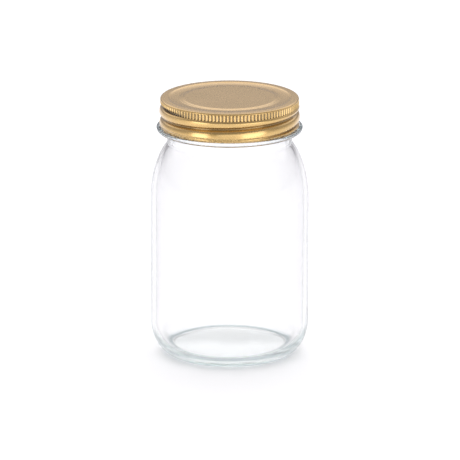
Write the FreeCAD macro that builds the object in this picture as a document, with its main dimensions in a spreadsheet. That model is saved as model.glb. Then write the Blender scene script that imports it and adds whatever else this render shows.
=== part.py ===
"""Pint mason jar with a one-piece screw cap: glass jar, metal cap and moulded sealing ring.

Millimetres, +Z up. The origin is the centre of the foot's bearing plane, and the front is -Y.
"""
import FreeCAD, Part
import math
import os
import re
import Sketcher
from FreeCAD import Placement, Rotation, Vector

# Driving dimensions: alias, value in millimetres (or degrees, or a count), meaning.
DIMENSIONS = [
    ("total_height", "136.84", "foot to cap rim"),
    ("body_radius", "41.0", "straight wall, outside"),
    ("wall", "2.35", "glass wall of the body"),
    ("foot_inner_radius", "27.2", "inner edge of the flat bearing ring"),
    ("foot_radius", "28.73", "outer edge of the flat bearing ring"),
    ("heel_height", "17.0", "where the heel curve meets the straight wall"),
    ("push_up_bevel", "0.5", "bevel between bearing ring and push-up"),
    ("push_up_height", "1.9", "push-up at the centre"),
    ("floor_edge", "4.5", "inside floor at its edge"),
    ("floor_centre", "5.1", "inside floor at the centre"),
    ("floor_radius", "29.5", "inside floor, where the inner heel starts"),
    ("shoulder_start", "85.14", "top of the straight wall"),
    ("shoulder_centre", "32.47", "radius of the outer shoulder ellipse's centre"),
    ("shoulder_end_radius", "33.95", "outer shoulder, where the neck blend starts"),
    ("shoulder_end", "108.834", "its height"),
    ("neck_radius", "32.2", "neck, outside"),
    ("neck_start", "111.66", "bottom of the straight neck"),
    ("neck_blend", "3.15", "radius from shoulder to neck, outside"),
    ("inner_shoulder_centre", "30.0", "radius of the inner shoulder ellipse's centre"),
    ("inner_shoulder_end_radius", "32.958", "inner shoulder, where the neck blend starts"),
    ("inner_shoulder_end", "106.283", "its height"),
    ("inner_neck_radius", "30.3", "neck, inside"),
    ("inner_neck_start", "112.46", "bottom of the neck's bore"),
    ("inner_neck_blend", "8.5", "radius from shoulder to neck, inside"),
    ("ring_blend_start", "115.58", "top of the straight neck"),
    ("ring_blend", "2.6", "radius from neck to transfer ring"),
    ("ring_under_radius", "33.73", "inner edge of the transfer ring's underside"),
    ("ring_under_inner", "117.95", "its height"),
    ("ring_under_edge", "36.9", "outer edge of the transfer ring's underside"),
    ("ring_under_outer", "119.38", "its height"),
    ("ring_radius", "37.9", "transfer ring, largest radius"),
    ("ring_widest", "120.93", "height of the largest radius"),
    ("ring_lower_round", "1.7", "round under the widest line"),
    ("ring_upper_round", "0.87", "round above the widest line"),
    ("ring_top", "121.8", "flat top of the transfer ring"),
    ("finish_radius", "33.6", "wall under the glass thread"),
    ("finish_bore", "30.9", "mouth, inside"),
    ("lip_height", "135.55", "sealing land of the lip"),
    ("lip_outer_round", "0.5", "round outside the land"),
    ("lip_inner_round", "0.8", "round inside the land"),
    ("thread_pitch", "6.35", "four turns to the inch"),
    ("glass_thread_root", "33.3", "flat side of the glass thread's section, inside the wall"),
    ("glass_thread_base", "1.4", "half its width there"),
    ("glass_thread_shoulder", "34.2", "radius where its flanks meet the round crest"),
    ("glass_thread_half", "1.15", "half its width there"),
    ("glass_thread_round", "1.161", "round of the crest"),
    ("glass_thread_start", "124.25", "height of the lower end"),
    ("glass_thread_angle", "-85", "place of the lower end about Z"),
    ("glass_thread_turns", "1.4", "length"),
    ("sheet", "0.25", "tinplate thickness"),
    ("cap_height", "14.96", "rim to bottom edge"),
    ("rim_radius", "36.0", "crest of the knurled band"),
    ("rim_round", "0.9", "round between rim and knurled band"),
    ("rim_inner", "31.8", "inner edge of the flat rim"),
    ("rim_wall", "35.45", "inside of the knurled band"),
    ("rim_inner_round", "0.4", "inside round of the top corner"),
    ("step_radius", "31.2", "foot of the step inside the rim"),
    ("step_depth", "0.45", "step below the rim"),
    ("step_slope_out", "0.083", "radial offset of the step's underside, upper end"),
    ("panel_radius", "25.0", "flat centre panel"),
    ("panel_depth", "0.2", "panel below the rim"),
    ("knurl_top", "0.8", "upper end of the flutes below the rim"),
    ("knurl_bottom", "4.25", "lower end of the flutes below the rim"),
    ("knurl_count", "120", "flutes round the band"),
    ("flute_radius", "0.9", "section radius of a flute"),
    ("flute_depth", "0.28", "flute below the crest"),
    ("skirt_radius", "36.5", "barrel of the skirt"),
    ("skirt_top", "5.1", "start of the barrel below the rim"),
    ("skirt_bottom", "13.2", "end of the barrel below the rim"),
    ("skirt_round", "0.97", "shoulder round between band and barrel"),
    ("skirt_inner_top", "4.5", "inside of that shoulder below the rim"),
    ("skirt_lower_round", "2.69", "round between barrel and rolled edge"),
    ("curl_radius", "36.1", "outside of the rolled bottom edge"),
    ("curl_inner", "35.4", "inside of the rolled bottom edge"),
    ("curl_half", "0.35", "half the thickness of the rolled edge"),
    ("cap_thread_centre", "36.0", "radius of the thread section's centre"),
    ("cap_groove_round", "1.3", "outside groove of the rolled thread"),
    ("cap_ridge_round", "1.55", "inside ridge of the rolled thread"),
    ("cap_thread_start", "13.116", "lower end of the thread below the rim"),
    ("cap_thread_angle", "10", "place of the lower end about Z"),
    ("cap_thread_turns", "1.167", "length"),
    ("cap_thread_lap", "1.5", "degrees that the ridge runs past the groove at each end"),
    ("seal_inner", "31.95", "sealing ring, inside"),
    ("seal_outer", "35.4", "sealing ring, outside"),
    ("seal_round", "0.5", "outer rounds of the sealing ring"),
]

doc = FreeCAD.newDocument("mason_jar")


def make_sheet():
    """Write the driving dimensions as aliased cells."""
    sheet = doc.addObject("Spreadsheet::Sheet", "dims")
    for row, (alias, value, meaning) in enumerate(DIMENSIONS, start=1):
        sheet.set("A%d" % row, alias)
        sheet.set("B%d" % row, value)
        sheet.set("C%d" % row, meaning)
        sheet.setAlias("B%d" % row, alias)
    doc.recompute()
    return sheet


dims = make_sheet()


def bound(text):
    """Turn aliases into references to the sheet: every word in an expression is an alias."""
    return re.sub(r"[a-z_]+", r"dims.\g<0>", text)


def number(text):
    """The present value of an expression of aliases."""
    return float(dims.evalExpression(bound(text)))


def add_sketch(body, name, role="XZ_Plane", lift=None, turn=None):
    """Attach a sketch to an origin plane, lifted along its normal or turned about the jar's axis."""
    sketch = body.newObject("Sketcher::SketchObject", name)
    plane = [feature for feature in body.Origin.OriginFeatures if feature.Role == role][0]
    sketch.AttachmentSupport = [(plane, "")]
    sketch.MapMode = "FlatFace"
    if lift:
        sketch.setExpression(".AttachmentOffset.Base.z", bound(lift))
    if turn:
        sketch.AttachmentOffset = Placement(Vector(0, 0, 0), Rotation(Vector(0, 1, 0), number(turn)))
        sketch.setExpression(".AttachmentOffset.Rotation.Angle", bound(turn))
    return sketch


def constrain(sketch, kind, items, expression):
    """Add one dimension to a sketch and bind it to the sheet."""
    index = sketch.addConstraint(Sketcher.Constraint(kind, *items, number(expression)))
    sketch.setExpression("Constraints[%d]" % index, bound(expression))


def pin(sketch, geometry, end, radius, height):
    """Hold one end of a curve at a radius and a height, or on an axis where that is zero."""
    if number(radius):
        constrain(sketch, "DistanceX", (-1, 1, geometry, end), radius)
    else:
        sketch.addConstraint(Sketcher.Constraint("PointOnObject", geometry, end, -2))
    if number(height):
        constrain(sketch, "DistanceY", (-1, 1, geometry, end), height)
    else:
        sketch.addConstraint(Sketcher.Constraint("PointOnObject", geometry, end, -1))


def point(place):
    """A vertex of an outline as a vector in its sketch."""
    return Vector(number(place[0]), number(place[1]), 0)


def add_arc(sketch, start, end, radius, turn):
    """An arc from start to end that turns left (turn 1) or right (turn -1)."""
    chord = end - start
    rise = math.sqrt(max(radius ** 2 - (chord.Length / 2) ** 2, 0))
    left = Vector(-chord.y, chord.x, 0).normalize()
    centre = (start + end) * 0.5 + left * rise * turn
    first, last = (start, end) if turn > 0 else (end, start)
    angles = [math.atan2(p.y - centre.y, p.x - centre.x) for p in (first, last)]
    circle = Part.Circle(centre, Vector(0, 0, 1), radius)
    return sketch.addGeometry(Part.ArcOfCircle(circle, angles[0], angles[1]), False)


def add_quarter(sketch, start, end, centre, turn):
    """A stretch of an upright ellipse through start and end, with its own long axis drawn in."""
    from_start, from_end = start - centre, end - centre
    squares = [(p.x ** 2, p.y ** 2) for p in (from_start, from_end)]
    scale = squares[0][0] * squares[1][1] - squares[1][0] * squares[0][1]
    wide = math.sqrt(scale / (squares[1][1] - squares[0][1]))
    tall = math.sqrt(scale / (squares[0][0] - squares[1][0]))
    ellipse = Part.Ellipse(centre + Vector(0, tall, 0), centre - Vector(wide, 0, 0), centre)
    first, last = (start, end) if turn > 0 else (end, start)
    limits = [ellipse.parameter(p) for p in (first, last)]
    if limits[1] < limits[0]:
        limits[1] += 2 * math.pi
    arc = sketch.addGeometry(Part.ArcOfEllipse(ellipse, limits[0], limits[1]), False)
    top, bottom = centre + Vector(0, tall, 0), centre - Vector(0, tall, 0)
    axis = sketch.addGeometry(Part.LineSegment(top, bottom), True)
    sketch.addConstraint(Sketcher.Constraint("InternalAlignment:EllipseMajorDiameter", axis, arc))
    sketch.addConstraint(Sketcher.Constraint("Vertical", axis))
    return arc


def draw_outline(sketch, outline):
    """Draw a closed outline of (radius, height, next edge) corners and bind it to the sheet.

    The next edge is None for a straight line, ("arc", radius, turn), ("quarter", centre radius,
    centre height, turn) for an ellipse, or ("dome", turn) for an arc centred on the axis.
    """
    ends = []
    for index, corner in enumerate(outline):
        following = outline[(index + 1) % len(outline)]
        start, end, edge = point(corner), point(following), corner[2]
        if edge is None:
            geometry, turn = sketch.addGeometry(Part.LineSegment(start, end), False), 1
        elif edge[0] == "arc":
            turn = edge[2]
            geometry = add_arc(sketch, start, end, number(edge[1]), turn)
            constrain(sketch, "Radius", (geometry,), edge[1])
        elif edge[0] == "dome":
            turn = edge[1]
            chord = end - start
            geometry = add_arc(sketch, start, end, chord.Length ** 2 / (2 * abs(chord.y)), turn)
            sketch.addConstraint(Sketcher.Constraint("PointOnObject", geometry, 3, -2))
        else:
            turn = edge[3]
            geometry = add_quarter(sketch, start, end, point(edge[1:3]), turn)
            pin(sketch, geometry, 3, edge[1], edge[2])
        ends.append((geometry, 1, 2) if turn > 0 else (geometry, 2, 1))
        pin(sketch, geometry, ends[-1][1], corner[0], corner[1])
    for index, (geometry, first, last) in enumerate(ends):
        neighbour = ends[(index + 1) % len(ends)]
        sketch.addConstraint(Sketcher.Constraint("Coincident", geometry, last, neighbour[0], neighbour[1]))


def draw_circle(sketch, radius, across, up=None):
    """Draw a circle whose centre is across and up from the sketch's origin."""
    centre = Vector(number(across), number(up) if up else 0, 0)
    circle = sketch.addGeometry(Part.Circle(centre, Vector(0, 0, 1), number(radius)), False)
    constrain(sketch, "Radius", (circle,), radius)
    pin(sketch, circle, 3, across, up or "0")


def turn_outline(body, name, outline, cut=False):
    """Revolve an outline round the jar's axis, to add it or to cut it away."""
    sketch = add_sketch(body, name + "_section")
    draw_outline(sketch, outline)
    feature = body.newObject("PartDesign::Groove" if cut else "PartDesign::Revolution", name)
    feature.Profile = sketch
    feature.ReferenceAxis = (sketch, ["V_Axis"])
    feature.Angle = 360.0
    doc.recompute()
    return feature


def wind(body, name, sketch, turns, cut=False):
    """Sweep a section up the thread's helix, right-handed, to add it or to cut it away."""
    kind = "PartDesign::SubtractiveHelix" if cut else "PartDesign::AdditiveHelix"
    feature = body.newObject(kind, name)
    feature.Profile = sketch
    feature.ReferenceAxis = (sketch, ["V_Axis"])
    feature.Mode = "pitch-turns-angle"
    feature.setExpression("Pitch", bound("thread_pitch"))
    feature.setExpression("Turns", bound(turns))
    feature.LeftHanded = False
    feature.Reversed = False
    doc.recompute()
    return feature


def make_body(name):
    """An empty body of the document."""
    body = doc.addObject("PartDesign::Body", name)
    body.Label = name
    doc.recompute()
    return body


def make_glass_jar():
    """The blown jar: outside, cavity and one continuous glass thread under the lip."""
    body = make_body("glass_jar")
    outside = [
        ("foot_inner_radius", "0", None),
        ("foot_radius", "0", ("quarter", "foot_radius", "heel_height", 1)),
        ("body_radius", "heel_height", None),
        ("body_radius", "shoulder_start", ("quarter", "shoulder_centre", "shoulder_start", 1)),
        ("shoulder_end_radius", "shoulder_end", ("arc", "neck_blend", -1)),
        ("neck_radius", "neck_start", None),
        ("neck_radius", "ring_blend_start", ("arc", "ring_blend", -1)),
        ("ring_under_radius", "ring_under_inner", None),
        ("ring_under_edge", "ring_under_outer", ("arc", "ring_lower_round", 1)),
        ("ring_radius", "ring_widest", ("arc", "ring_upper_round", 1)),
        ("ring_radius - ring_upper_round", "ring_top", None),
        ("finish_radius", "ring_top", None),
        ("finish_radius", "lip_height - lip_outer_round", ("arc", "lip_outer_round", 1)),
        ("finish_radius - lip_outer_round", "lip_height", None),
        ("0", "lip_height", None),
        ("0", "push_up_height", ("dome", -1)),
        ("foot_inner_radius - push_up_bevel", "push_up_bevel", None),
    ]
    turn_outline(body, "outside", outside)
    cavity = [
        ("0", "floor_centre", ("dome", -1)),
        ("floor_radius", "floor_edge", ("quarter", "floor_radius", "heel_height", 1)),
        ("body_radius - wall", "heel_height", None),
        ("body_radius - wall", "shoulder_start", ("quarter", "inner_shoulder_centre", "shoulder_start", 1)),
        ("inner_shoulder_end_radius", "inner_shoulder_end", ("arc", "inner_neck_blend", -1)),
        ("inner_neck_radius", "inner_neck_start", None),
        ("finish_bore", "lip_height - lip_inner_round", ("arc", "lip_inner_round", -1)),
        ("finish_bore + lip_inner_round", "lip_height", None),
        ("0", "lip_height", None),
    ]
    turn_outline(body, "cavity", cavity, cut=True)
    section = add_sketch(body, "thread_section", turn="glass_thread_angle")
    draw_outline(section, [
        ("glass_thread_root", "glass_thread_start - glass_thread_base", None),
        ("glass_thread_shoulder", "glass_thread_start - glass_thread_half", ("arc", "glass_thread_round", 1)),
        ("glass_thread_shoulder", "glass_thread_start + glass_thread_half", None),
        ("glass_thread_root", "glass_thread_start + glass_thread_base", None),
    ])
    wind(body, "thread", section, "glass_thread_turns")
    return body


def depth(text):
    """A height given as a depth below the cap's rim."""
    return "total_height - (%s)" % text


def make_cap_outside():
    """The cap as a solid block: rim, knurled band, barrel, rolled edge and outside thread groove."""
    body = make_body("cap_outside")
    outline = [
        ("0", depth("cap_height"), None),
        ("curl_radius - curl_half", depth("cap_height"), ("arc", "curl_half", 1)),
        ("curl_radius", depth("cap_height - curl_half"), ("arc", "skirt_lower_round", 1)),
        ("skirt_radius", depth("skirt_bottom"), None),
        ("skirt_radius", depth("skirt_top"), ("arc", "skirt_round", 1)),
        ("rim_radius", depth("knurl_bottom"), None),
        ("rim_radius", depth("rim_round"), ("arc", "rim_round", 1)),
        ("rim_radius - rim_round", "total_height", None),
        ("rim_inner", "total_height", None),
        ("step_radius", depth("step_depth"), None),
        ("panel_radius", depth("panel_depth"), None),
        ("0", depth("panel_depth"), None),
    ]
    turn_outline(body, "block", outline)
    flute_section = add_sketch(body, "flute_section", role="XY_Plane", lift=depth("knurl_top"))
    draw_circle(flute_section, "flute_radius", "rim_radius + flute_radius - flute_depth")
    flute = body.newObject("PartDesign::Pocket", "flute")
    flute.Profile = flute_section
    flute.setExpression("Length", bound("knurl_bottom - knurl_top"))
    doc.recompute()
    flutes = body.newObject("PartDesign::PolarPattern", "flutes")
    flutes.Originals = [flute]
    flutes.Axis = (flute_section, ["N_Axis"])
    flutes.Angle = 360.0
    flutes.setExpression("Occurrences", bound("knurl_count"))
    body.Tip = flutes
    doc.recompute()
    section = add_sketch(body, "groove_section", turn="cap_thread_angle")
    draw_circle(section, "cap_groove_round", "cap_thread_centre", depth("cap_thread_start"))
    wind(body, "groove", section, "cap_thread_turns", cut=True)
    return body


def make_cap_cavity():
    """The space inside the cap, with the rolled thread's ridge standing into it."""
    body = make_body("cap_cavity")
    outline = [
        ("0", depth("cap_height + curl_half"), None),
        ("curl_radius - curl_half", depth("cap_height + curl_half"), None),
        ("curl_radius - curl_half", depth("cap_height"), ("arc", "curl_half", -1)),
        ("curl_inner", depth("cap_height - curl_half"), None),
        ("curl_inner", depth("cap_height - 2 * curl_half"), None),
        ("skirt_radius - sheet", depth("skirt_bottom"), None),
        ("skirt_radius - sheet", depth("skirt_top"), None),
        ("rim_wall", depth("skirt_inner_top"), None),
        ("rim_wall", depth("sheet + rim_inner_round"), ("arc", "rim_inner_round", 1)),
        ("rim_wall - rim_inner_round", depth("sheet"), None),
        ("rim_inner + step_slope_out", depth("sheet"), None),
        ("step_radius + step_slope_out", depth("step_depth + sheet"), None),
        ("panel_radius", depth("panel_depth + sheet"), None),
        ("0", depth("panel_depth + sheet"), None),
    ]
    turn_outline(body, "space", outline)
    section = add_sketch(body, "ridge_section", turn="cap_thread_angle - cap_thread_lap")
    start = depth("cap_thread_start + thread_pitch * cap_thread_lap / 360")
    draw_circle(section, "cap_ridge_round", "cap_thread_centre", start)
    wind(body, "ridge", section, "cap_thread_turns + cap_thread_lap / 180", cut=True)
    return body


def make_screw_cap():
    """The one-piece tinplate cap: its outside less the space inside it."""
    cap = doc.addObject("Part::Cut", "screw_cap")
    cap.Base = make_cap_outside()
    cap.Tool = make_cap_cavity()
    cap.Refine = False
    cap.Label = "screw_cap"
    doc.recompute()
    return cap


def make_sealing_ring():
    """The ring moulded into the cap's channel, which rests on the lip's sealing land."""
    body = make_body("sealing_ring")
    turn_outline(body, "ring", [
        ("seal_inner", "lip_height", None),
        ("seal_outer - seal_round", "lip_height", ("arc", "seal_round", 1)),
        ("seal_outer", "lip_height + seal_round", None),
        ("seal_outer", depth("sheet + seal_round"), ("arc", "seal_round", 1)),
        ("seal_outer - seal_round", depth("sheet"), None),
        ("seal_inner", depth("sheet"), None),
    ])
    return body


def check_document(nodes):
    """Stop if any object failed or any sub-part is empty or invalid."""
    doc.recompute()
    for item in doc.Objects:
        if "Invalid" in item.State or "Error" in item.State:
            raise RuntimeError("%s is %s" % (item.Name, item.State))
    for node in nodes:
        if node.Shape.isNull() or not node.Shape.isValid():
            raise RuntimeError("%s has no valid shape" % node.Label)


def write_parts(nodes):
    """Write each sub-part to parts/ under its own name."""
    os.makedirs("parts", exist_ok=True)
    for node in nodes:
        node.Shape.exportStep("parts/%s.step" % node.Label)
        box = node.Shape.optimalBoundingBox()
        print(node.Label, "solids", len(node.Shape.Solids), "volume", round(node.Shape.Volume, 1),
              "box", [round(value, 2) for value in (box.XMax, box.YMax, box.ZMin, box.ZMax)])


nodes = [make_glass_jar(), make_screw_cap(), make_sealing_ring()]
check_document(nodes)
write_parts(nodes)
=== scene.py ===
"""Looks of the mason jar: clear pressed glass, gold-lacquered screw cap and moulded sealing ring."""
import math

import bpy
import numpy as np
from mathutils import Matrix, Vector


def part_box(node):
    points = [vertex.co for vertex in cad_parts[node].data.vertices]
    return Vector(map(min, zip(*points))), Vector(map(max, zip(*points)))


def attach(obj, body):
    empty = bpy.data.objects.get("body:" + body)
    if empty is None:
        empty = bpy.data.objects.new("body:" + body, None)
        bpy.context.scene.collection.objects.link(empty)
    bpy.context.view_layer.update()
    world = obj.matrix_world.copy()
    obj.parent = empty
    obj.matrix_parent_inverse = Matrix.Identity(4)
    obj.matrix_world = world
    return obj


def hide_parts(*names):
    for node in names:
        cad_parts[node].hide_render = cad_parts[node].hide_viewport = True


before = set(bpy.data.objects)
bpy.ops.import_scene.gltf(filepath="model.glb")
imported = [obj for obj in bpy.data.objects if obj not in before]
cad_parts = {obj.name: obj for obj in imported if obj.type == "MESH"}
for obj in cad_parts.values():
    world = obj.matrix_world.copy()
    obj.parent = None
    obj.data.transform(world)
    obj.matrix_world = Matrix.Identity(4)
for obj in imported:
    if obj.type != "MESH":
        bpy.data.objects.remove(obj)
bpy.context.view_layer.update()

MM = 0.001

# Heights in millimetres, read from the frame.
CAP_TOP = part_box("screw_cap")[1][2] / MM
CAP_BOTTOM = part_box("screw_cap")[0][2] / MM
LIP_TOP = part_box("glass_jar")[1][2] / MM
BODY_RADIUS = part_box("glass_jar")[1][0] / MM
SKIRT_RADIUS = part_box("screw_cap")[1][0] / MM

# The screw thread, right-handed. Angles are degrees from the front, rising to the right.
THREAD_PITCH = 6.35
GROOVE_FRONT_DEPTH = 8.53


# ---------------------------------------------------------------- outlines

def line(start, end, step):
    """Points from start up to, but not including, end."""
    start, end = np.array(start, float), np.array(end, float)
    count = max(int(math.ceil(np.linalg.norm(end - start) / step)), 1)
    return [start + (end - start) * k / count for k in range(count)]


def ellipse(centre, wide, tall, first, last, count):
    """Points of an upright ellipse from one angle up to, but not including, another."""
    angles = np.radians(np.linspace(first, last, count, endpoint=False))
    return [np.array((centre[0] + wide * math.cos(a), centre[1] + tall * math.sin(a))) for a in angles]


def arc(centre, radius, first, last, count):
    """Points of a circle's arc, the last one left out."""
    return ellipse(centre, radius, radius, first, last, count)


def dome(middle, rim, edge, count):
    """Points of a shallow dome, from its middle on the axis up to, but not including, its rim."""
    share = np.arange(count) / count
    return [np.array((rim * s, middle + (edge - middle) * s * s)) for s in share]


def smooth(value):
    """Smooth step from 0 to 1."""
    value = np.clip(value, 0.0, 1.0)
    return value * value * (3.0 - 2.0 * value)


def window(value, low, high, fade):
    """1 between low and high, fading to 0 over a distance on both sides."""
    return smooth((value - low) / fade + 1.0) * smooth((high - value) / fade + 1.0)


# ---------------------------------------------------------------- surfaces of revolution

def spin(outline, segments):
    """Turn an outline of (radius, height) into a grid of points, and give each column's angle."""
    outline = np.array(outline)
    front = np.arange(segments) * 2.0 * math.pi / segments
    radius = np.repeat(outline[:, :1], segments, axis=1)
    height = np.repeat(outline[:, 1:], segments, axis=1)
    return radius, height, front


def to_points(radius, height, front):
    """Cylindrical grid to points: the angle runs from the front, -Y, to the right."""
    return np.stack([radius * np.sin(front), -radius * np.cos(front), height], axis=-1)


def outline_normals(outline, closed=False):
    """Unit normals of an outline, to the right of its direction of travel."""
    outline = np.array(outline)
    if closed:
        along = np.roll(outline, -1, axis=0) - np.roll(outline, 1, axis=0)
    else:
        along = np.gradient(outline, axis=0)
    normals = np.stack([along[:, 1], -along[:, 0]], axis=-1)
    return normals / np.linalg.norm(normals, axis=1, keepdims=True)


def grid_normals(points):
    """Unit normals of a grid that wraps round in its columns."""
    down = np.gradient(points, axis=0)
    across = np.roll(points, -1, axis=1) - np.roll(points, 1, axis=1)
    normals = np.cross(across, down)
    lengths = np.linalg.norm(normals, axis=-1, keepdims=True)
    normals = normals / np.maximum(lengths, 1e-12)
    for pole, beside in ((0, 1), (-1, -2)):
        if lengths[pole].max() < 1e-9:
            normals[pole] = normals[beside].mean(axis=0)
    return normals


def add_grid(name, points, closed=False):
    """Make a mesh of a grid whose columns wrap round. Open grids end in a pole at each end."""
    rows, columns = points.shape[:2]
    if closed:
        vertices = points.reshape(-1, 3)
        index = np.arange(rows * columns).reshape(rows, columns)
        upper, lower = index, np.roll(index, -1, axis=0)
        poles = []
    else:
        vertices = np.concatenate([points[0, :1], points[1:-1].reshape(-1, 3), points[-1, :1]])
        index = 1 + np.arange((rows - 2) * columns).reshape(rows - 2, columns)
        upper, lower = index[:-1], index[1:]
        last = len(vertices) - 1
        poles = [(0, int(b), int(a)) for a, b in zip(index[0], np.roll(index[0], -1))]
        poles += [(last, int(a), int(b)) for a, b in zip(index[-1], np.roll(index[-1], -1))]
    quads = np.stack([upper, np.roll(upper, -1, axis=1), np.roll(lower, -1, axis=1), lower], axis=-1)
    faces = poles + [tuple(quad) for quad in quads.reshape(-1, 4).tolist()]
    mesh = bpy.data.meshes.new(name)
    mesh.from_pydata((vertices * MM).tolist(), [], faces)
    mesh.validate()
    mesh.update()
    if enclosed_volume(mesh) < 0:
        mesh.flip_normals()
    mesh.shade_smooth()
    piece = bpy.data.objects.new(name, mesh)
    bpy.context.scene.collection.objects.link(piece)
    return piece


def enclosed_volume(mesh):
    """Signed volume of a closed mesh: negative when its faces look inwards."""
    mesh.calc_loop_triangles()
    corners = np.empty(len(mesh.vertices) * 3)
    mesh.vertices.foreach_get("co", corners)
    corners = corners.reshape(-1, 3)
    triangles = np.empty(len(mesh.loop_triangles) * 3, dtype=np.int32)
    mesh.loop_triangles.foreach_get("vertices", triangles)
    a, b, c = (corners[triangles.reshape(-1, 3)[:, k]] for k in range(3))
    return float(np.einsum("ij,ij->i", a, np.cross(b, c)).sum()) / 6.0


# ---------------------------------------------------------------- the glass jar

FOOT_TICKS = 112
JAR_SEGMENTS = FOOT_TICKS * 6
GLASS_THREAD_LOW = 5.0
GLASS_THREAD_TURN = 504.0
GLASS_THREAD_LOW_HEIGHT = 124.25
GLASS_THREAD_HEIGHT = 1.6
WALL = 2.35


def jar_outline():
    """From the centre of the inside floor, up the cavity, over the lip and down to the push-up."""
    inside, wall = BODY_RADIUS - WALL, BODY_RADIUS
    points = dome(5.5, 29.5, 4.5, 16)
    points += ellipse((29.5, 17.0), inside - 29.5, 12.5, -90, 0, 36)
    points += line((inside, 17.0), (inside, 82.5), 3.0)
    points += ellipse((22.75, 82.5), inside - 22.75, 33.2, 0, 58.8, 44)
    points += arc((33.45, 113.3), 3.42, 218.5, 180, 16)
    points += line((30.03, 113.3), (30.9, LIP_TOP - 0.8), 1.0)
    points += arc((31.7, LIP_TOP - 0.8), 0.8, 180, 90, 7)
    points += line((31.7, LIP_TOP), (33.0, LIP_TOP), 0.4)
    points += arc((33.0, LIP_TOP - 0.6), 0.6, 90, 0, 6)
    points += line((33.6, LIP_TOP - 0.6), (33.6, 122.1), 0.16)
    points += arc((33.9, 122.1), 0.3, 180, 270, 4)
    points += line((33.9, 121.8), (37.0, 121.8), 0.5)
    points += arc((37.03, 120.93), 0.87, 90, 0, 10)
    points += arc((36.2, 120.93), 1.7, 0, -65.7, 12)
    points += line((36.9, 119.38), (33.1, 118.5), 0.5)
    points += arc((32.95, 117.77), 0.75, 103, 180, 8)
    points += line((32.2, 117.77), (32.2, 113.3), 0.5)
    points += arc((33.45, 113.3), 1.25, 180, 218.5, 10)
    points += ellipse((22.75, 82.5), wall - 22.75, 35.5, 57.7, 0, 60)
    points += line((wall, 82.5), (wall, 17.0), 3.0)
    points += ellipse((28.73, 17.0), wall - 28.73, 17.0, 0, -79.5, 76)
    points += line((30.95, 0.25), (30.75, 0.0), 0.2)
    points += line((30.75, 0.0), (30.2, 0.0), 0.2)
    points += line((30.2, 0.0), (29.9, 0.15), 0.2)
    points += [np.array((29.9, 0.15))]
    points += dome(1.15, 29.9, 0.15, 18)[::-1]
    return points


def glass_thread(height, front):
    """How far the glass thread stands out of the finish wall."""
    angle = np.degrees(front)
    out = np.zeros_like(height)
    for turn in (0, 1, 2):
        around = angle + 360.0 * turn
        centre = GLASS_THREAD_LOW_HEIGHT + THREAD_PITCH * (around - GLASS_THREAD_LOW) / 360.0
        ends = smooth((around - GLASS_THREAD_LOW) / 22.0)
        ends = ends * smooth((GLASS_THREAD_LOW + GLASS_THREAD_TURN - around) / 22.0)
        across = np.abs(height - centre) / 1.05
        out = np.maximum(out, ends * np.exp(-across ** 3))
    return GLASS_THREAD_HEIGHT * out


def foot_ticks(radius, front):
    """Short radial hollows moulded round the bearing surface."""
    ring = window(radius, 31.0, 33.0, 0.5)
    wave = 0.5 + 0.5 * np.cos(front * FOOT_TICKS)
    return -0.5 * ring * wave ** 1.5


def wall_ripple(front, height):
    """The slight unevenness of pressed glass, in millimetres."""
    slow = 0.06 * np.sin(2 * front + 0.6 + height * 0.021) + 0.04 * np.sin(3 * front - height * 0.037)
    fine = 0.008 * np.sin(7 * front + height * 0.08) + 0.005 * np.sin(11 * front - height * 0.11 + 1.3)
    return slow + fine


def mould_seams(front):
    """The two faint lines where the halves of the mould met, at the sides."""
    out = np.zeros_like(front)
    for side in (0.5 * math.pi, 1.5 * math.pi):
        out = out + np.exp(-((front - side) * BODY_RADIUS / 0.32) ** 2)
    return 0.07 * out


def make_jar():
    outline = jar_outline()
    radius, height, front = spin(outline, JAR_SEGMENTS)
    normals = outline_normals(outline)
    lip_row = int(np.argmax(np.array(outline)[:, 1]))
    rows = np.arange(len(outline))[:, None]
    outside = rows > lip_row + 4
    finish = outside & (np.abs(radius - 33.6) < 0.02) & (height > 122.0)
    body = window(height, 14.0, 100.0, 8.0)
    push = np.where(finish, glass_thread(height, front), 0.0)
    push = push + np.where(outside & (height < 4.0), foot_ticks(radius, front), 0.0)
    push = push - np.where(outside, 0.0, 1.0) * body * wall_ripple(front, height)
    seam_part = window(height, 8.0, 120.0, 5.0)
    push = push + np.where(outside & (radius > 31.0), seam_part * mould_seams(front), 0.0)
    radius = radius + push * -normals[:, :1]
    height = height + push * -normals[:, 1:]
    return add_grid("jar_glass", to_points(radius, height, front))


# ---------------------------------------------------------------- the screw cap

FLUTES = 120
CAP_SEGMENTS = FLUTES * 8
SHEET = 0.25
RIM_RADIUS = 36.0
CURL = 0.38


def cap_outline():
    """The cap's outer face from the middle of the panel to the end of the rolled edge."""
    top = CAP_TOP
    points = line((0.0, top - 0.25), (24.4, top - 0.25), 1.2)
    points += shoulder((24.4, top - 0.25), (26.2, top - 0.45), 12)
    points += arc((26.2, top + 49.55), 50.0, -90, -84.4, 20)
    points += shoulder((31.08, top - 0.21), (31.9, top), 9)
    points += line((32.0, top), (35.05, top - 0.08), 0.25)
    points += arc((35.12, top - 0.96), 0.88, 88, 0, 14)
    points += line((RIM_RADIUS, top - 0.96), (RIM_RADIUS, top - 4.1), 0.16)
    points += shoulder((RIM_RADIUS, top - 4.1), (SKIRT_RADIUS, top - 5.2), 10)
    points += line((SKIRT_RADIUS, top - 5.2), (SKIRT_RADIUS, top - 12.9), 0.16)
    points += shoulder((SKIRT_RADIUS, top - 12.9), (35.98, CAP_BOTTOM + 0.72), 9)
    points += arc((35.72, CAP_BOTTOM + CURL), CURL, 40, -215, 22)
    return points


def shoulder(start, end, count):
    """An S-shaped step from one radius to another."""
    share = np.linspace(0.0, 1.0, count, endpoint=False)
    rise = smooth(share)
    return [np.array((start[0] + (end[0] - start[0]) * r, start[1] + (end[1] - start[1]) * s))
            for s, r in zip(share, rise)]


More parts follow.
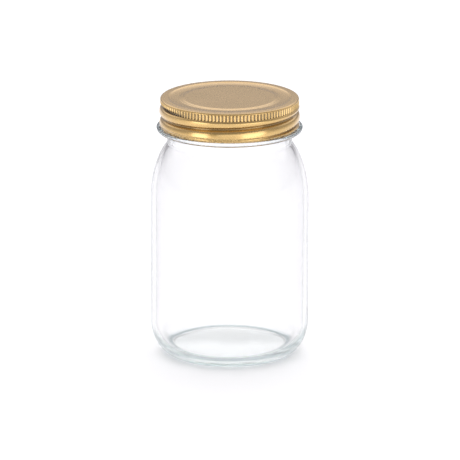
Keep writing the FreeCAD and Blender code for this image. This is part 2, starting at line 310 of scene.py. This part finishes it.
def groove_depth(around):
    """Depth of the rolled thread's centre below the rim; its upper tail levels out."""
    plain = GROOVE_FRONT_DEPTH - THREAD_PITCH * (around - 360.0) / 360.0
    over = plain - 3.75
    return 3.75 + 0.5 * (over + np.sqrt(over ** 2 + 0.3 ** 2))


def rolled_thread(depth, front):
    """How far the rolled thread is pressed in: a narrow groove whose shoulders round over into the bulges."""
    angle = np.degrees(front)
    out = np.zeros_like(depth)
    for turn in (0, 1):
        around = angle + 360.0 * turn
        ends = smooth((around - 12.0) / 60.0) * smooth((690.0 - around) / 55.0)
        across = np.abs(depth - groove_depth(around))
        shape = 1.2 * np.exp(-(across / 0.85) ** 2.4) + 0.75 * np.exp(-(across / 1.9) ** 2)
        out = np.maximum(out, ends * shape)
    return out * smooth((14.35 - depth) / 0.7) * smooth((depth - 2.2) / 1.2)


def flutes(depth, front):
    """How far the knurl is pressed in."""
    wave = 0.5 + 0.5 * np.cos(front * FLUTES)
    fade = smooth((depth - 0.75) / 0.5) * smooth((4.6 - depth) / 0.8)
    return 0.62 * fade * wave ** 1.1


def make_cap():
    outline = cap_outline()
    radius, height, front = spin(outline, CAP_SEGMENTS)
    depth = CAP_TOP - height
    side = radius > 35.4
    radius = radius - np.where(side, rolled_thread(depth, front) + flutes(depth, front), 0.0)
    outer = to_points(radius, height, front)
    inner = outer - SHEET * grid_normals(outer) * cap_side(outer)
    whole = np.concatenate([outer, inner[::-1]])
    return add_grid("cap_sheet", whole)


def cap_side(points):
    """1 if the grid's normals look out of the cap, -1 if they look in."""
    return 1.0 if grid_normals(points)[4, 0, 2] > 0 else -1.0


# ---------------------------------------------------------------- the sealing ring

def make_seal():
    low, high = LIP_TOP, CAP_TOP - SHEET - 0.02
    points = line((32.0, low + 0.12), (32.0, high - 0.15), 0.2)
    points += arc((32.15, high - 0.15), 0.15, 180, 90, 4)
    points += line((32.15, high), (34.75, high), 0.4)
    points += arc((34.75, high - 0.45), 0.45, 90, 0, 7)
    points += line((35.2, high - 0.45), (35.2, low + 0.3), 0.2)
    points += arc((34.8, low + 0.3), 0.4, 0, -90, 6)
    points += line((34.8, low - 0.1), (33.9, low - 0.1), 0.3)
    points += line((33.9, low - 0.1), (33.3, low), 0.2)
    points += line((33.3, low), (32.1, low), 0.3)
    points += line((32.1, low), (32.0, low + 0.12), 0.2)
    radius, height, front = spin(points, 240)
    return add_grid("seal_ring", to_points(radius, height, front), closed=True)


# ---------------------------------------------------------------- materials

def new_material(name):
    """A material with its nodes, links and Principled shader."""
    material = bpy.data.materials.new(name)
    material.use_nodes = True
    return material, material.node_tree.nodes, material.node_tree.links, material.node_tree.nodes["Principled BSDF"]


def object_radius(nodes, links):
    """Height above the floor and distance from the jar's axis, as two sockets in metres."""
    coordinates = nodes.new("ShaderNodeTexCoord")
    split = nodes.new("ShaderNodeSeparateXYZ")
    links.new(coordinates.outputs["Object"], split.inputs["Vector"])
    flat = nodes.new("ShaderNodeVectorMath")
    flat.operation = "MULTIPLY"
    flat.inputs[1].default_value = (1.0, 1.0, 0.0)
    links.new(coordinates.outputs["Object"], flat.inputs[0])
    radius = nodes.new("ShaderNodeVectorMath")
    radius.operation = "LENGTH"
    links.new(flat.outputs["Vector"], radius.inputs[0])
    return split.outputs["Z"], radius.outputs["Value"]


def map_range(nodes, links, value, low, high, to_low=0.0, to_high=1.0):
    """A clamped change of scale."""
    mapped = nodes.new("ShaderNodeMapRange")
    for name, number in (("From Min", low), ("From Max", high), ("To Min", to_low), ("To Max", to_high)):
        mapped.inputs[name].default_value = number
    links.new(value, mapped.inputs["Value"])
    return mapped.outputs["Result"]


def colour_ramp(nodes, links, value, stops):
    """A smooth ramp through (position, colour) stops."""
    ramp = nodes.new("ShaderNodeValToRGB")
    ramp.color_ramp.interpolation = "EASE"
    elements = ramp.color_ramp.elements
    while len(elements) < len(stops):
        elements.new(1.0)
    for element, (position, colour) in zip(elements, stops):
        element.position = position
        element.color = (*colour, 1)
    links.new(value, ramp.inputs["Fac"])
    return ramp.outputs["Color"]


def glass_material():
    """Clear glass with painted shade: a little greyer where it is seen at a slant, standing in for the dim room
    that real glass reflects, and a dark teal band painted on the foot's bearing edge. Lamps' rays pass straight
    through, dimmed by the heel.
    """
    material, nodes, links, shader = new_material("clear_glass")
    shader.inputs["Roughness"].default_value = 0.0
    shader.inputs["IOR"].default_value = 1.51
    shader.inputs["Transmission Weight"].default_value = 1.0
    output = nodes["Material Output"]
    # Painted shade: the colour greys towards grazing angles, standing in for the reflected dim room. It fades out
    # on the base below 18 mm and is gone below 5 mm.
    facing = nodes.new("ShaderNodeLayerWeight")
    facing.inputs["Blend"].default_value = 0.5
    slant_colours = ((0.06, (0.99, 0.99, 0.99)), (0.17, (0.960, 0.959, 0.961)),
                     (0.45, (0.942, 0.938, 0.946)), (0.95, (0.77, 0.755, 0.79)))
    slant_shade = nodes.new("ShaderNodeMix")
    slant_shade.data_type = "RGBA"
    slant_shade.inputs["A"].default_value = (0.99, 0.99, 0.99, 1)
    links.new(colour_ramp(nodes, links, facing.outputs["Facing"], slant_colours), slant_shade.inputs["B"])
    height, radius = object_radius(nodes, links)
    links.new(map_range(nodes, links, height, 0.005, 0.018), slant_shade.inputs["Factor"])
    # Painted shade: a dark teal band on the foot's bearing edge, below 1.2 to 2.8 mm and beyond 30.8 to 31.3 mm
    # from the axis. The veil below carries it too.
    clear = nodes.new("ShaderNodeMath")
    clear.operation = "MAXIMUM"
    links.new(map_range(nodes, links, height, 0.0012, 0.0028), clear.inputs[0])
    links.new(map_range(nodes, links, radius, 0.0313, 0.0308), clear.inputs[1])
    tint = nodes.new("ShaderNodeMix")
    tint.data_type = "RGBA"
    tint.inputs["A"].default_value = (0.52, 0.62, 0.65, 1)
    links.new(slant_shade.outputs["Result"], tint.inputs["B"])
    links.new(clear.outputs["Value"], tint.inputs["Factor"])
    links.new(tint.outputs["Result"], shader.inputs["Base Color"])
    rim = nodes.new("ShaderNodeMath")
    rim.operation = "MAXIMUM"
    links.new(map_range(nodes, links, facing.outputs["Facing"], 0.8, 1.0, 0.0, 0.6), rim.inputs[0])
    foot = nodes.new("ShaderNodeMath")
    foot.operation = "MINIMUM"
    links.new(map_range(nodes, links, height, 0.001, 0.0045, 0.5, 0.0), foot.inputs[0])
    links.new(map_range(nodes, links, radius, 0.0309, 0.0316, 0.5, 0.15), foot.inputs[1])
    links.new(foot.outputs["Value"], rim.inputs[1])
    veil = nodes.new("ShaderNodeBsdfTransparent")
    links.new(tint.outputs["Result"], veil.inputs["Color"])
    soft = nodes.new("ShaderNodeMixShader")
    links.new(rim.outputs["Value"], soft.inputs["Fac"])
    links.new(shader.outputs["BSDF"], soft.inputs[1])
    links.new(veil.outputs["BSDF"], soft.inputs[2])
    thin = nodes.new("ShaderNodeMath")
    thin.operation = "MAXIMUM"
    links.new(map_range(nodes, links, height, 0.003, 0.010), thin.inputs[0])
    links.new(map_range(nodes, links, radius, 0.0315, 0.0303), thin.inputs[1])
    dimming = nodes.new("ShaderNodeMix")
    dimming.data_type = "RGBA"
    dimming.inputs["A"].default_value = (0.22, 0.22, 0.23, 1)
    dimming.inputs["B"].default_value = (1, 1, 1, 1)
    links.new(thin.outputs["Value"], dimming.inputs["Factor"])
    straight = nodes.new("ShaderNodeBsdfTransparent")
    links.new(dimming.outputs["Result"], straight.inputs["Color"])
    path = nodes.new("ShaderNodeLightPath")
    either = nodes.new("ShaderNodeMixShader")
    links.new(path.outputs["Is Shadow Ray"], either.inputs["Fac"])
    links.new(soft.outputs["Shader"], either.inputs[1])
    links.new(straight.outputs["BSDF"], either.inputs[2])
    links.new(either.outputs["Shader"], output.inputs["Surface"])
    absorb = nodes.new("ShaderNodeVolumeAbsorption")
    absorb.inputs["Color"].default_value = (0.1, 0.6, 0.6, 1)
    absorb.inputs["Density"].default_value = 3.5
    links.new(absorb.outputs["Volume"], output.inputs["Volume"])
    return material


def lacquer_material():
    material, nodes, links, shader = new_material("gold_lacquer")
    coordinates = nodes.new("ShaderNodeTexCoord")
    grain = nodes.new("ShaderNodeTexNoise")
    grain.inputs["Scale"].default_value = 900.0
    grain.inputs["Detail"].default_value = 4.0
    stretch = nodes.new("ShaderNodeMapping")
    stretch.inputs["Scale"].default_value = (1.0, 0.12, 1.0)
    links.new(coordinates.outputs["Object"], stretch.inputs["Vector"])
    links.new(stretch.outputs["Vector"], grain.inputs["Vector"])
    cloud = nodes.new("ShaderNodeTexNoise")
    cloud.inputs["Scale"].default_value = 60.0
    cloud.inputs["Detail"].default_value = 3.0
    links.new(coordinates.outputs["Object"], cloud.inputs["Vector"])
    tint = nodes.new("ShaderNodeValToRGB")
    tint.color_ramp.elements[0].position = 0.3
    tint.color_ramp.elements[0].color = (0.66, 0.43, 0.14, 1)
    tint.color_ramp.elements[1].position = 0.7
    tint.color_ramp.elements[1].color = (0.72, 0.47, 0.165, 1)
    links.new(cloud.outputs["Fac"], tint.inputs["Fac"])
    # Painted shade: the lacquer's colour darkens in the thread groove and, more, between the knurl's flutes. The
    # top face keeps its full colour.
    height, radius = object_radius(nodes, links)
    groove_shade = map_range(nodes, links, radius, 0.0347, 0.036, 0.5, 1.0)
    flute_shade = map_range(nodes, links, radius, 0.0354, 0.03592, 0.18, 1.0)
    knurled = map_range(nodes, links, height, (CAP_TOP - 4.7) * MM, (CAP_TOP - 4.2) * MM)
    sides = nodes.new("ShaderNodeMix")
    links.new(knurled, sides.inputs["Factor"])
    links.new(groove_shade, sides.inputs["A"])
    links.new(flute_shade, sides.inputs["B"])
    top_face = map_range(nodes, links, height, (CAP_TOP - 0.9) * MM, (CAP_TOP - 0.6) * MM)
    hollow_shade = nodes.new("ShaderNodeMath")
    hollow_shade.operation = "MAXIMUM"
    links.new(sides.outputs["Result"], hollow_shade.inputs[0])
    links.new(top_face, hollow_shade.inputs[1])
    shaded = nodes.new("ShaderNodeVectorMath")
    shaded.operation = "SCALE"
    links.new(tint.outputs["Color"], shaded.inputs[0])
    links.new(hollow_shade.outputs["Value"], shaded.inputs["Scale"])
    links.new(shaded.outputs["Vector"], shader.inputs["Base Color"])
    rough = nodes.new("ShaderNodeMapRange")
    rough.inputs["To Min"].default_value = 0.25
    rough.inputs["To Max"].default_value = 0.30
    links.new(grain.outputs["Fac"], rough.inputs["Value"])
    links.new(rough.outputs["Result"], shader.inputs["Roughness"])
    bump = nodes.new("ShaderNodeBump")
    bump.inputs["Strength"].default_value = 0.015
    bump.inputs["Distance"].default_value = 0.0002
    links.new(grain.outputs["Fac"], bump.inputs["Height"])
    links.new(bump.outputs["Normal"], shader.inputs["Normal"])
    shader.inputs["Metallic"].default_value = 1.0
    shader.inputs["Coat Weight"].default_value = 0.6
    shader.inputs["Coat IOR"].default_value = 1.9
    shader.inputs["Coat Roughness"].default_value = 0.16
    return material


def seal_material():
    material, nodes, links, shader = new_material("plastisol")
    cloud = nodes.new("ShaderNodeTexNoise")
    cloud.inputs["Scale"].default_value = 400.0
    tint = nodes.new("ShaderNodeValToRGB")
    tint.color_ramp.elements[0].color = (0.62, 0.58, 0.48, 1)
    tint.color_ramp.elements[1].color = (0.74, 0.70, 0.60, 1)
    links.new(cloud.outputs["Fac"], tint.inputs["Fac"])
    links.new(tint.outputs["Color"], shader.inputs["Base Color"])
    shader.inputs["Roughness"].default_value = 0.55
    return material


def floor_material():
    """A pale matt sheet, lit a little from below."""
    material, _, _, shader = new_material("pale_floor")
    shader.inputs["Base Color"].default_value = (0.85, 0.85, 0.85, 1)
    shader.inputs["Roughness"].default_value = 0.9
    shader.inputs["Emission Color"].default_value = (1, 1, 1, 1)
    shader.inputs["Emission Strength"].default_value = FLOOR_GLOW
    return material


# ---------------------------------------------------------------- floor, light and camera

CAMERA_TARGET = Vector((0.0002, 0.0, 0.0653))
CAMERA_DISTANCE = 3.0
CAMERA_TILT = math.radians(15.68)
LENS = 450.8
GLASS_BOUNCES = 24
FLOOR_GLOW = 0.19


def add_floor():
    corners = [(-8, -8, 0), (8, -8, 0), (8, 8, 0), (-8, 8, 0)]
    mesh = bpy.data.meshes.new("floor")
    mesh.from_pydata(corners, [], [(0, 1, 2, 3)])
    mesh.materials.append(floor_material())
    floor = bpy.data.objects.new("floor", mesh)
    bpy.context.scene.collection.objects.link(floor)


def add_softbox(name, place, aim, size, power, mirrored=True):
    """A rectangular area light that looks at a point, seen or not in shiny surfaces."""
    light = bpy.data.lights.new(name, "AREA")
    light.shape = "RECTANGLE"
    light.size, light.size_y = size
    light.energy = power
    lamp = bpy.data.objects.new(name, light)
    lamp.location = place
    lamp.rotation_euler = (Vector(aim) - Vector(place)).to_track_quat("-Z", "Y").to_euler()
    lamp.visible_camera = False
    lamp.visible_glossy = mirrored
    bpy.context.scene.collection.objects.link(lamp)


def light_ramp(nodes, links, value, stops, tint):
    """A ramp through (position, light) stops, all of one tint."""
    return colour_ramp(nodes, links, value, [(at, [light * share for share in tint]) for at, light in stops])


def add_world():
    """Plain studio surroundings: a lit backdrop behind, brightest some way above the horizon, and a dim room in
    front and at the sides, darkest in front.
    """
    world = bpy.data.worlds.new("studio")
    world.use_nodes = True
    nodes, links = world.node_tree.nodes, world.node_tree.links
    coordinates = nodes.new("ShaderNodeTexCoord")
    split = nodes.new("ShaderNodeSeparateXYZ")
    links.new(coordinates.outputs["Generated"], split.inputs["Vector"])
    upward = ((0.0, 0.45), (0.26, 0.38), (0.44, 1.35), (1.0, 1.1))
    backdrop = light_ramp(nodes, links, split.outputs["Z"], upward, (1.0, 0.97, 1.0))
    to_share = map_range(nodes, links, split.outputs["Y"], -1.0, 1.0)
    room = ((0.0, 0.25), (0.12, 0.3), (0.3, 0.45), (1.0, 0.6))
    front = light_ramp(nodes, links, to_share, room, (1.0, 0.98, 1.04))
    behind = map_range(nodes, links, split.outputs["Y"], -0.1, 0.85)
    behind.node.interpolation_type = "SMOOTHSTEP"
    around = nodes.new("ShaderNodeMix")
    around.data_type = "RGBA"
    links.new(behind, around.inputs["Factor"])
    links.new(front, around.inputs["A"])
    links.new(backdrop, around.inputs["B"])
    links.new(around.outputs["Result"], nodes["Background"].inputs["Color"])
    bpy.context.scene.world = world


def add_lights():
    add_world()
    add_softbox("overhead", (0.0, 0.55, 1.2), (0.0, 0.55, 0.0), (0.9, 1.6), 9.9, mirrored=False)
    add_softbox("front_panel", (0.0, -1.0, 0.2), (0.0, 0.0, 0.12), (0.75, 0.3), 0.70)
    add_softbox("left_panel", (-0.29, -0.27, 0.12), (0.0, 0.0, 0.12), (0.18, 0.22), 0.25)
    add_softbox("right_panel", (0.24, -0.31, 0.12), (0.0, 0.0, 0.12), (0.26, 0.22), 0.30)


def add_camera():
    """The photograph's view: level in roll, tilted down, with a long lens."""
    camera = bpy.data.objects.new("camera", bpy.data.cameras.new("camera"))
    camera.data.lens = LENS
    camera.data.sensor_width = 36.0
    camera.data.clip_end = 50.0
    back = Vector((0.0, -math.cos(CAMERA_TILT), math.sin(CAMERA_TILT))) * CAMERA_DISTANCE
    camera.location = CAMERA_TARGET + back
    camera.rotation_euler = (-back).to_track_quat("-Z", "Y").to_euler()
    bpy.context.scene.collection.objects.link(camera)
    bpy.context.scene.camera = camera


# ---------------------------------------------------------------- the scene

def place(piece, material, slot, body, node):
    """Give a piece its finish and let it stand for its CAD node."""
    piece.data.materials.append(material)
    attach(piece, body)
    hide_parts(node)


add_camera()
add_floor()
add_lights()
bpy.context.scene.view_settings.view_transform = "Standard"
for kind in ("max_bounces", "transmission_bounces", "glossy_bounces"):
    setattr(bpy.context.scene.cycles, kind, GLASS_BOUNCES)
place(make_jar(), glass_material(), "glass", "jar", "glass_jar")
place(make_cap(), lacquer_material(), "cap_lacquer", "cap", "screw_cap")
place(make_seal(), seal_material(), "seal", "liner", "sealing_ring")
